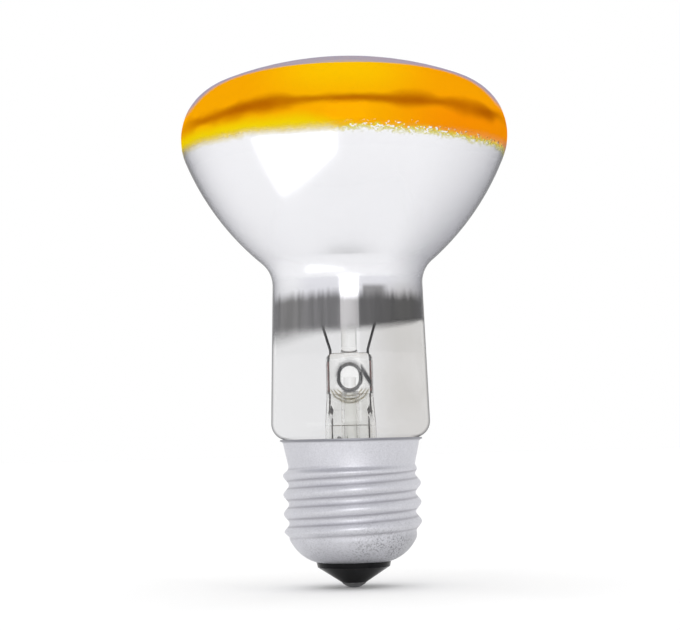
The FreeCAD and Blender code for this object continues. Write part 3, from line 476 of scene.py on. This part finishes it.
def mirror_film_finish(coatings, colours):
    """Aluminium film: bright in the cone, smoky and streaked in the neck, with an even foot on one side
    and a hazy one on the other. Its foot ends higher at the back. The cone is painted darker towards its
    right side as painted shade, and a dark patch at the top of the neck is a painted reflection."""
    f = Finish("mirror_film")
    foot, haze, smoke, top = (v / MM for v in (coatings.film_foot, coatings.film_haze,
                                               coatings.smoke_top, coatings.film_top))
    streaks = f.noise(1.5, 3.0, 0.6, place=f.stretched(1.0, 1.0, 0.05))
    streak = f.minus(streaks, 0.5)
    drift = f.minus(f.noise(8.0, 2.0), 0.5)
    level = f.plus(f.height, f.times(drift, 0.8))
    streaked = f.plus(level, f.times(streak, 2.0))
    side = f.fade(f.across, -0.5, 3.0)
    bright = f.fade(streaked, smoke, smoke + 2.6)
    dusk = f.blend(side, colours.smoke, dimmed(colours.smoke, 0.60))
    dusk = f.blend(f.fade(f.across, 5.5, 9.5, 0.0, 0.45), dusk, (0.05, 0.05, 0.05))
    dusk = f.blend(f.fade(streaks, 0.30, 0.62, 0.35, 0.0), dusk, (0.045, 0.045, 0.045))
    grain = f.noise(0.35, 2.0, 0.7)
    silver = f.blend(f.times(grain, 0.30), colours.silver, (0.74, 0.74, 0.78))
    # Painted shade: the cone's film is darkened towards its right side, more so lower down
    sideways = f.math("DIVIDE", f.across, f.span(f.across, f.back))
    painted_side_shade = f.times(f.fade(sideways, 0.40, 1.0), f.fade(f.height, 62.0, 84.0, 0.80, 0.40))
    silver = f.blend(painted_side_shade, silver, (0.50, 0.50, 0.53))
    # Painted reflection: a dark patch at the top of the neck, right of the middle, stands in for a dark
    # reflection in the film
    painted_dark_reflection = f.times(f.fade(f.across, 2.5, 3.1), f.fade(f.across, 6.0, 7.8, 1.0, 0.0))
    painted_dark_reflection = f.times(painted_dark_reflection, f.fade(f.height, 55.9, 57.0, 0.80, 0.0))
    silver = f.blend(painted_dark_reflection, silver, (0.24, 0.235, 0.23))
    colour = f.blend(bright, dusk, silver)
    hazy = f.fade(level, f.fade(f.across, -14.0, -3.0, foot - haze - 1.8, foot - 2.9), foot - 0.2)
    leaning = f.minus(level, f.math("MULTIPLY_ADD", f.across, 0.14, -0.56))
    low_cover = f.blend(side, hazy, f.fade(leaning, foot - 1.4, foot - 0.3))
    behind = f.times(f.fade(f.back, 0.0, 3.0), f.fade(f.height, foot - 1.0, foot + 2.0, 1.0, 0.0))
    low_cover = f.times(low_cover, f.minus(1.0, behind))
    wear = f.minus(f.noise(5.0, 3.0), 0.5)
    top_cover = f.fade(f.plus(f.height, f.times(wear, 1.2)), top - 0.5, top + 0.3, 1.0, 0.0)
    cover = f.times(low_cover, top_cover)
    peel = f.bump(f.noise(2.2, 2.0, 0.5), 0.006)
    # The roughness stays under 0.27, because a denoised render shows a jagged line where it passes that
    rough = f.math("MULTIPLY_ADD", grain, f.fade(f.height, 70.0, 78.0, 0.02, 0.08),
                   f.fade(f.height, 66.0, 77.0, 0.24, 0.11))
    rough = f.minus(rough, f.fade(f.height, 57.8, 58.6, 0.14, 0.0))
    return f.done(f.principled(Base_Color=colour, Metallic=1.0, Roughness=rough, Alpha=cover, Normal=peel,
                               Specular_Tint=(0.45, 0.45, 0.47)))


def lacquer_finish(coatings, colours):
    """Amber lacquer sprayed on the face. It thins to yellow at its lower edge, softly on one side and
    with a ragged, chipped edge on the other."""
    f = Finish("amber_lacquer")
    edge, top = coatings.lacquer_edge / MM, coatings.film_top / MM
    side = f.fade(f.across, -3.0, 1.5)
    lumps = f.minus(f.noise(0.7, 3.0, 0.7), 0.5)
    drift = f.minus(f.noise(7.0, 3.0), 0.5)
    swing = f.math("MULTIPLY_ADD", side, 1.2, 1.2)
    ragged = f.plus(f.height, f.times(lumps, swing))
    ragged = f.plus(ragged, f.times(drift, 1.2))
    ragged = f.plus(ragged, f.fade(f.across, 10.0, 26.0, 0.0, 0.9))
    chips = f.times(f.fade(f.noise(0.5, 2.0, 0.6, place=f.stretched(0.6, 0.6, 1.0)), 0.55, 0.60),
                    f.fade(ragged, edge + 0.7, edge + 1.3, 1.0, 0.0))
    hard = f.math("MAXIMUM", f.fade(ragged, edge - 0.12, edge + 0.12),
                  f.fade(ragged, edge - 1.0, edge - 0.1, 0.0, 0.55))
    hard = f.times(hard, f.minus(1.0, chips))
    cover = f.blend(side, f.fade(ragged, edge - 1.0, edge + 1.5), hard)
    deep = f.times(f.fade(f.across, 4.0, 22.0), f.fade(f.height, 85.0, 91.0, 0.9, 0.25))
    middle = f.fade(f.math("ABSOLUTE", f.across), 3.0, 19.0, 1.0, 0.0)
    middle = f.times(middle, f.fade(f.height, 87.0, 94.0, 0.25, 1.0))
    middle_amber, deep_amber, fringe_yellow = (1.0, 0.57, 0.001), (0.97, 0.29, 0.001), (0.76, 0.74, 0.03)
    body = f.blend(f.noise(9.0, 3.0), colours.amber, dimmed(colours.amber, 0.94))
    body = f.blend(middle, body, middle_amber)
    body = f.blend(deep, body, deep_amber)
    thin_reach = f.fade(f.across, -9.0, 5.0, edge + 4.0, edge + 1.3)
    thin = f.fade(ragged, f.minus(thin_reach, 3.0), thin_reach, 1.0, 0.0)
    colour = f.blend(thin, body, colours.amber_thin)
    fringe = f.times(f.fade(ragged, edge - 0.2, edge + 0.7, 1.0, 0.0), side)
    colour = f.blend(fringe, colour, fringe_yellow)
    # Painted shadow: a brown line in the lacquer along the top edge of the mirror film, weaker towards the
    # sides
    wander = f.minus(f.noise(12.0, 4.0, place=f.stretched(1.0, 1.0, 3.0)), 0.5)
    wander = f.times(wander, 1.6)
    aside = f.math("ABSOLUTE", f.across)
    wander = f.plus(wander, f.fade(aside, 12.0, 29.0, 0.0, 0.5))
    wander = f.plus(wander, f.fade(f.across, -20.0, -6.0, 0.5, 0.0))
    off_line = f.apart(f.plus(f.height, wander), top)
    width = f.times(f.fade(f.noise(10.0, 2.0), 0.3, 0.7, 1.2, 2.8), f.fade(aside, 3.0, 13.0, 0.6, 1.0))
    line = f.minus(1.0, f.fade(off_line, 0.0, width))
    line = f.times(line, f.fade(f.noise(13.0, 2.0), 0.3, 0.7, 0.70, 1.0))
    line = f.times(line, f.fade(aside, 26.5, 30.5, 1.0, 0.3))
    colour = f.blend(line, colour, colours.amber_edge_shadow)
    see_through = f.node("ShaderNodeBsdfTransparent")
    f.join(f.blend(thin, (1.0, 0.60, 0.01), (0.98, 0.85, 0.10)), see_through.inputs["Color"])
    paint = f.principled(Base_Color=colour, Roughness=0.32, Specular_IOR_Level=0.0,
                         Normal=f.bump(f.noise(0.6, 2.0), 0.01))
    layer = f.mix(coatings.lacquer_cover, see_through.outputs[0], paint)
    bare = f.node("ShaderNodeBsdfTransparent")
    return f.done(f.mix(cover, bare.outputs[0], layer))


def thread_wave(f):
    """Wave of the rolled thread, 1 on its crest and 0 in its root, and the stretch that it covers."""
    turn = f.math("ARCTAN2", f.back, f.across)
    phase = f.times(f.minus(f.height, THREAD_CREST), 2 * math.pi / THREAD_PITCH)
    wave = f.math("COSINE", f.minus(phase, f.minus(turn, math.pi)))
    wave = f.math("MULTIPLY_ADD", wave, 0.5, 0.5)
    threaded = f.times(f.fade(f.height, THREAD_LOW - 1.0, THREAD_LOW + 0.6),
                       f.fade(f.height, THREAD_TOP - 0.6, THREAD_TOP + 1.0, 1.0, 0.0))
    return wave, threaded


def cap_finish(colours):
    """Drawn aluminium: satin, streaked along the draw and dusty, with painted shade lines on the flanks of
    the thread, a dark brim under the glass, painted shade that darkens the bowl and more so its right side,
    and pits towards the bowl."""
    f = Finish("cap_aluminium")
    wave, threaded = thread_wave(f)
    # Painted shade: dark lines on the flanks of the thread, where shade falls beside each crest
    flank_shade = f.minus(1.0, f.math("ABSOLUTE", f.math("MULTIPLY_ADD", wave, 2.0, -0.70)))
    flank_shade = f.times(f.fade(flank_shade, 0.45, 1.0), threaded)
    streaks = f.noise(0.5, 4.0, 0.65, place=f.stretched(1.0, 1.0, 0.08))
    patches = f.noise(4.5, 4.0, 0.6)
    specks = f.fade(f.noise(0.38, 3.0, 0.7), 0.48, 0.62)
    low = f.fade(f.height, 6.5, 15.0, 1.0, 0.10)
    side = f.fade(f.across, -6.0, 9.0, 0.30, 1.0)
    pits = f.times(f.times(low, side), f.fade(patches, 0.3, 0.6))
    pits = f.times(specks, pits)
    colour = f.blend(f.times(streaks, 0.40), colours.aluminium, (0.80, 0.80, 0.83))
    # Painted shade on the lower right of the cap, towards the bowl
    painted_bowl_shade = f.times(f.fade(f.across, 4.5, 12.0), f.fade(f.height, 6.0, 14.0, 0.60, 0.0))
    # Painted shade: the cap darkens towards the bottom of the bowl
    painted_low_shade = f.fade(f.height, 5.0, 12.0, 0.20, 0.0)
    dust = f.fade(f.noise(0.24, 2.0, 0.7), 0.35, 0.62, 0.22, 0.0)
    brim = f.fade(f.height, CAP_TOP - 0.75, CAP_TOP - 0.25, 0.0, 0.75)
    for amount, soil in ((painted_bowl_shade, (0.27, 0.27, 0.28)), (painted_low_shade, (0.42, 0.42, 0.45)),
                         (dust, (0.34, 0.34, 0.36)), (brim, (0.20, 0.20, 0.22)),
                         (f.times(flank_shade, 0.60), (0.36, 0.35, 0.38)),
                         (f.times(pits, 0.85), (0.20, 0.20, 0.21))):
        colour = f.blend(amount, colour, soil)
    rough = f.math("MULTIPLY_ADD", patches, 0.14, 0.42)
    rough = f.minus(rough, f.times(f.times(wave, threaded), 0.06))
    relief = f.minus(f.times(streaks, 0.6), pits)
    return f.done(f.principled(Base_Color=colour, Metallic=1.0, Roughness=rough,
                               Normal=f.bump(relief, 0.03)))


def metal_finish(name, colour, dark, grain, roughness):
    """Metal with a mottled surface, its grain in millimetres."""
    f = Finish(name)
    mottle = f.noise(grain, 3.0, 0.6)
    return f.done(f.principled(Base_Color=f.blend(mottle, colour, dark), Metallic=1.0,
                               Roughness=f.math("MULTIPLY_ADD", mottle, 0.2, roughness - 0.1),
                               Normal=f.bump(mottle, 0.006)))


def black_glass_finish(colours):
    """Moulded black glass with faint flow marks."""
    f = Finish("black_glass")
    flow = f.noise(2.2, 3.0, 0.5, place=f.stretched(1.0, 1.0, 0.4))
    colour = f.blend(flow, colours.black_glass, (0.008, 0.008, 0.009))
    return f.done(f.principled(Base_Color=colour, Roughness=f.math("MULTIPLY_ADD", flow, 0.16, 0.14),
                               Specular_IOR_Level=0.10, Normal=f.bump(flow, 0.02)))


def cement_finish():
    """Fired cement, chalky and grainy."""
    f = Finish("basing_cement")
    grain = f.noise(0.4, 4.0, 0.7)
    colour = f.blend(grain, (0.74, 0.69, 0.58), (0.40, 0.33, 0.24))
    return f.done(f.principled(Base_Color=colour, Roughness=0.9, Normal=f.bump(grain, 0.05)))


class LAMP_OT_envelope(bpy.types.Operator):
    """Give the blown envelope its clear glass"""
    bl_idname = "lamp.envelope"
    bl_label = "Envelope glass"

    def execute(self, context):
        dress("glass_bulb", clear_glass("bulb_glass", context.scene.lamp_coatings))
        return {"FINISHED"}


class LAMP_OT_mirror_film(bpy.types.Operator):
    """Lay the mirror film in the cone and the top of the neck"""
    bl_idname = "lamp.mirror_film"
    bl_label = "Mirror film"

    def execute(self, context):
        coatings = context.scene.lamp_coatings
        line = cut_line(wall_line(FILM_DEPTH), coatings.film_top / MM + FILM_OVER_TOP,
                        coatings.film_foot / MM - FILM_UNDER_FOOT)
        vertices, faces = lathe(line, FILM_COLUMNS)
        add_piece("mirror_film", vertices, faces, mirror_film_finish(coatings, context.scene.lamp_colours))
        return {"FINISHED"}


class LAMP_OT_lacquer(bpy.types.Operator):
    """Lay the amber lacquer on the face and the rim"""
    bl_idname = "lamp.lacquer"
    bl_label = "Amber lacquer"

    def execute(self, context):
        coatings = context.scene.lamp_coatings
        line = cut_line(wall_line(LACQUER_DEPTH), CROWN, coatings.lacquer_edge / MM - LACQUER_UNDER_EDGE)
        vertices, faces = lathe(line, LACQUER_COLUMNS)
        add_piece("amber_lacquer", vertices, faces, lacquer_finish(coatings, context.scene.lamp_colours))
        return {"FINISHED"}


class LAMP_OT_stem(bpy.types.Operator):
    """Give the stem, the exhaust tube and the arbor their clear glass"""
    bl_idname = "lamp.stem"
    bl_label = "Stem glass"

    def execute(self, context):
        colour = (0.985, 0.985, 0.97)
        dress("stem_glass", stem_glass_finish(colour))
        for name in ("exhaust_tube", "arbor_rod"):
            dress(name, drawn_glass_finish(name, colour))
        return {"FINISHED"}


class LAMP_OT_wires(bpy.types.Operator):
    """Give the wires their metals"""
    bl_idname = "lamp.wires"
    bl_label = "Wires"

    def execute(self, context):
        colours = context.scene.lamp_colours
        nickel = metal_finish("oxidised_nickel", colours.nickel, (0.03, 0.03, 0.032), 0.5, 0.4)
        copper = metal_finish("copper_clad", colours.copper, (0.20, 0.07, 0.06), 0.5, 0.45)
        lead = metal_finish("dull_copper", (0.16, 0.13, 0.12), (0.07, 0.06, 0.06), 0.6, 0.5)
        molybdenum = metal_finish("molybdenum", (0.45, 0.45, 0.46), (0.25, 0.25, 0.26), 0.4, 0.35)
        tungsten = metal_finish("tungsten", (0.30, 0.30, 0.31), (0.14, 0.14, 0.15), 0.3, 0.4)
        for name in ("inner_lead_left", "inner_lead_right"):
            dress(name, nickel)
        for name in ("seal_wire_left", "seal_wire_right"):
            dress(name, copper)
        for name in ("outer_lead_centre", "outer_lead_side", "fuse_wire"):
            dress(name, lead)
        for name in ("support_wire_1", "support_wire_2", "support_wire_3"):
            dress(name, molybdenum)
        dress("filament", tungsten)
        return {"FINISHED"}


def coil_vertices(path, coil_radius, wire_radius, turns, steps, sides):
    """Vertices and faces of a wire wound round a level path."""
    upward = Vector((0, 0, 1))
    lengths = [0.0]
    for before, after in zip(path, path[1:]):
        lengths.append(lengths[-1] + (after - before).length)
    total = turns * steps
    centres = []
    for i in range(total + 1):
        reach = lengths[-1] * i / total
        at = max(k for k in range(len(path) - 1) if lengths[k] <= reach + 1e-9)
        part = (reach - lengths[at]) / (lengths[at + 1] - lengths[at])
        point = path[at].lerp(path[at + 1], min(part, 1.0))
        along = (path[at + 1] - path[at]).normalized()
        outward = along.cross(upward)
        angle = 2 * math.pi * i / steps
        centres.append(point + (outward * math.cos(angle) + upward * math.sin(angle)) * coil_radius)
    vertices = []
    faces = []
    for i, centre in enumerate(centres):
        along = (centres[min(i + 1, total)] - centres[max(i - 1, 0)]).normalized()
        first = along.orthogonal() if i == 0 else first - along * first.dot(along)
        first.normalize()
        second = along.cross(first)
        for k in range(sides):
            angle = 2 * math.pi * k / sides
            vertices.append(centre + (first * math.cos(angle) + second * math.sin(angle)) * wire_radius)
    for i in range(total):
        for k in range(sides):
            n = (k + 1) % sides
            faces.append((i * sides + k, i * sides + n, (i + 1) * sides + n, (i + 1) * sides + k))
    faces.append(tuple(reversed(range(sides))))
    faces.append(tuple(total * sides + k for k in range(sides)))
    return vertices, faces


class LAMP_OT_filament(bpy.types.Operator):
    """Wind the filament coil along the line of its CAD stand-in"""
    bl_idname = "lamp.filament"
    bl_label = "Filament coil"

    def execute(self, context):
        low, high = (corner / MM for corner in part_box("filament"))
        outer = (high.z - low.z) / 2
        ring = high.x - outer
        height = (high.z + low.z) / 2
        path = [Vector((ring, low.y, height))]
        path += [Vector((ring * math.cos(a), ring * math.sin(a), height))
                 for a in (math.pi * i / 72 for i in range(73))]
        path.append(Vector((-ring, low.y, height)))
        vertices, faces = coil_vertices(path, outer - COIL_WIRE, COIL_WIRE,
                                        COIL_TURNS, COIL_STEPS, COIL_SIDES)
        material = bpy.data.materials["tungsten"]
        coil = add_piece("filament_coil", vertices, faces, material)
        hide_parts("filament")
        return {"FINISHED"}


class LAMP_OT_cap(bpy.types.Operator):
    """Give the screw cap, its insulator, contact, solder and cement their finishes"""
    bl_idname = "lamp.cap"
    bl_label = "Screw cap"

    def execute(self, context):
        colours = context.scene.lamp_colours
        dress("cap_shell", cap_finish(colours))
        dress("cap_insulator", black_glass_finish(colours))
        solder = metal_finish("solder", (0.38, 0.38, 0.40), (0.24, 0.24, 0.25), 0.6, 0.42)
        contact = metal_finish("contact_plate", (0.34, 0.335, 0.34), (0.20, 0.20, 0.205), 0.8, 0.4)
        dress("contact_eyelet", contact)
        dress("centre_solder", solder)
        dress("side_solder", solder)
        dress("basing_cement", cement_finish())
        return {"FINISHED"}


def floor_finish(colour):
    """Pale matt paper."""
    f = Finish("pale_floor")
    grain = f.noise(30.0, 3.0)
    return f.done(f.principled(Base_Color=f.blend(grain, colour, dimmed(colour, 0.99)), Roughness=0.9,
                               Specular_IOR_Level=0.1))


def add_softbox(name, place, width, height, radiance):
    """Upright soft light that faces away from the camera and only shows in glossy faces."""
    data = bpy.data.lights.new(name, "AREA")
    data.shape = "RECTANGLE"
    data.size, data.size_y = width, height
    data.energy = radiance * math.pi * width * height
    light = bpy.data.objects.new(name, data)
    light.location = place
    light.rotation_euler = (math.pi / 2, 0.0, 0.0)
    light.visible_camera = False
    light.visible_diffuse = False
    light.visible_transmission = False
    bpy.context.scene.collection.objects.link(light)


def add_card(name, corners, faces, radiance):
    """Flat white card that only shows in glossy faces."""
    mesh = bpy.data.meshes.new(name)
    mesh.from_pydata(corners, [], faces)
    f = Finish(name)
    glow = f.node("ShaderNodeEmission")
    f.join(f.blend(f.noise(40.0, 2.0), (1.0, 1.0, 1.0), (0.97, 0.97, 0.97)), glow.inputs["Color"])
    f.join(radiance, glow.inputs["Strength"])
    mesh.materials.append(f.done(glow.outputs[0]))
    card = bpy.data.objects.new(name, mesh)
    bpy.context.scene.collection.objects.link(card)
    card.visible_camera = False
    card.visible_diffuse = False
    card.visible_transmission = False
    card.visible_shadow = False


def light_room(strength):
    """Room that each kind of ray sees in its own tone. Reflections see white walls, a little greyer at
    the camera's side. Rays through solid glass see grey walls, white only straight behind the lamp. Matt
    faces are lit evenly with this strength, and the backdrop is white."""
    world = bpy.data.worlds.new("studio_room")
    world.use_nodes = True
    tree = world.node_tree
    tree.nodes.clear()

    def node(kind, **values):
        made = tree.nodes.new(kind)
        for name, value in values.items():
            made.inputs[name.replace("_", " ")].default_value = value
        return made

    def step(value, low, high):
        made = node("ShaderNodeMapRange", From_Min=low, From_Max=high)
        made.interpolation_type = "SMOOTHSTEP"
        tree.links.new(value, made.inputs["Value"])
        return made.outputs["Result"]

    def tone(factor, first, second):
        made = node("ShaderNodeMix")
        made.data_type = "RGBA"
        tree.links.new(factor, made.inputs[0])
        for value, socket in ((first, made.inputs[6]), (second, made.inputs[7])):
            if isinstance(value, tuple):
                socket.default_value = value
            else:
                tree.links.new(value, socket)
        return made.outputs[2]

    place = tree.nodes.new("ShaderNodeTexCoord")
    parts = tree.nodes.new("ShaderNodeSeparateXYZ")
    tree.links.new(place.outputs["Generated"], parts.inputs[0])
    white = (1.0, 1.0, 1.0, 1.0)
    gloss = tone(step(parts.outputs["Y"], -0.6, 0.1), (0.90, 0.90, 0.925, 1.0), white)
    through = tone(step(parts.outputs["Y"], 0.35, 0.75), (0.40, 0.40, 0.41, 1.0), white)
    ray = tree.nodes.new("ShaderNodeLightPath")
    seen = tone(ray.outputs["Is Transmission Ray"], gloss, through)
    seen = tone(ray.outputs["Is Diffuse Ray"], seen, (strength, strength, strength, 1.0))
    seen = tone(ray.outputs["Is Camera Ray"], seen, white)
    lit = node("ShaderNodeBackground")
    tree.links.new(seen, lit.inputs["Color"])
    out = tree.nodes.new("ShaderNodeOutputWorld")
    tree.links.new(lit.outputs[0], out.inputs["Surface"])
    bpy.context.scene.world = world


class LAMP_OT_studio(bpy.types.Operator):
    """Set up the floor, the light and the camera"""
    bl_idname = "lamp.studio"
    bl_label = "Studio"

    def execute(self, context):
        studio = context.scene.lamp_studio
        mesh = bpy.data.meshes.new("floor")
        turns = [2 * math.pi * i / FLOOR_CORNERS for i in range(FLOOR_CORNERS)]
        ring = [(FLOOR_REACH * math.cos(turn), FLOOR_REACH * math.sin(turn), 0.0) for turn in turns]
        mesh.from_pydata(ring, [], [tuple(range(FLOOR_CORNERS))])
        mesh.materials.append(floor_finish(tuple(studio.floor_colour)))
        floor = bpy.data.objects.new("floor", mesh)
        context.scene.collection.objects.link(floor)
        light_room(studio.room_light)
        add_softbox("front_card", FRONT_CARD_PLACE, FRONT_CARD_WIDTH, FRONT_CARD_HEIGHT, FRONT_CARD_LIGHT)
        low = [(x, y, LOW_CARD_HEIGHT) for x, y in LOW_CARD_OUTLINE]
        add_card("low_card", low, [tuple(range(len(low)))], LOW_CARD_LIGHT)
        bounce = [(x * reach, y * reach, BOUNCE_CARD_HEIGHT)
                  for reach in (BOUNCE_CARD_REACH, BOUNCE_CARD_HOLE)
                  for x, y in ((-1, -1), (1, -1), (1, 1), (-1, 1))]
        sides = [(i, (i + 1) % 4, 4 + (i + 1) % 4, 4 + i) for i in range(4)]
        add_card("bounce_card", bounce, sides, BOUNCE_CARD_LIGHT)
        camera = bpy.data.cameras.new("photo_camera")
        camera.sensor_width = 36.0
        camera.lens = studio.focal / MM
        camera.clip_start = 0.01
        camera.clip_end = 100.0
        eye = bpy.data.objects.new("photo_camera", camera)
        context.scene.collection.objects.link(eye)
        pitch, yaw, roll = (math.radians(a) for a in (CAMERA_PITCH, CAMERA_YAW, CAMERA_ROLL))
        turn = (Matrix.Rotation(yaw, 4, "Z") @ Matrix.Rotation(math.pi / 2 + pitch, 4, "X")
                @ Matrix.Rotation(roll, 4, "Z"))
        eye.matrix_world = Matrix.Translation((0.0, -studio.camera_distance, studio.camera_height)) @ turn
        context.scene.camera = eye
        context.scene.view_settings.view_transform = "Standard"
        context.scene.view_settings.look = "None"
        return {"FINISHED"}


class LAMP_PT_panel(bpy.types.Panel):
    """Sizes, colours and pieces of the lamp"""
    bl_idname = "LAMP_PT_panel"
    bl_label = "Reflector lamp"
    bl_space_type = "VIEW_3D"
    bl_region_type = "UI"
    bl_category = "Lamp"

    def draw(self, context):
        for group in (context.scene.lamp_coatings, context.scene.lamp_colours, context.scene.lamp_studio):
            box = self.layout.box()
            for name in type(group).__annotations__:
                box.prop(group, name)
        for operator in OPERATORS:
            self.layout.operator(operator.bl_idname)


GROUPS = (LampCoatings, LampColours, LampStudio)
OPERATORS = (LAMP_OT_studio, LAMP_OT_envelope, LAMP_OT_mirror_film, LAMP_OT_lacquer, LAMP_OT_stem,
             LAMP_OT_wires, LAMP_OT_filament, LAMP_OT_cap)


def register():
    for item in GROUPS + OPERATORS + (LAMP_PT_panel,):
        bpy.utils.register_class(item)
    bpy.types.Scene.lamp_coatings = bpy.props.PointerProperty(type=LampCoatings)
    bpy.types.Scene.lamp_colours = bpy.props.PointerProperty(type=LampColours)
    bpy.types.Scene.lamp_studio = bpy.props.PointerProperty(type=LampStudio)


def unregister():
    del bpy.types.Scene.lamp_studio
    del bpy.types.Scene.lamp_colours
    del bpy.types.Scene.lamp_coatings
    for item in reversed(GROUPS + OPERATORS + (LAMP_PT_panel,)):
        bpy.utils.unregister_class(item)


def main():
    """Make every piece in order."""
    register()
    bpy.ops.lamp.studio()
    bpy.ops.lamp.envelope()
    bpy.ops.lamp.mirror_film()
    bpy.ops.lamp.lacquer()
    bpy.ops.lamp.stem()
    bpy.ops.lamp.wires()
    bpy.ops.lamp.filament()
    bpy.ops.lamp.cap()


if __name__ == "__main__":
    main()
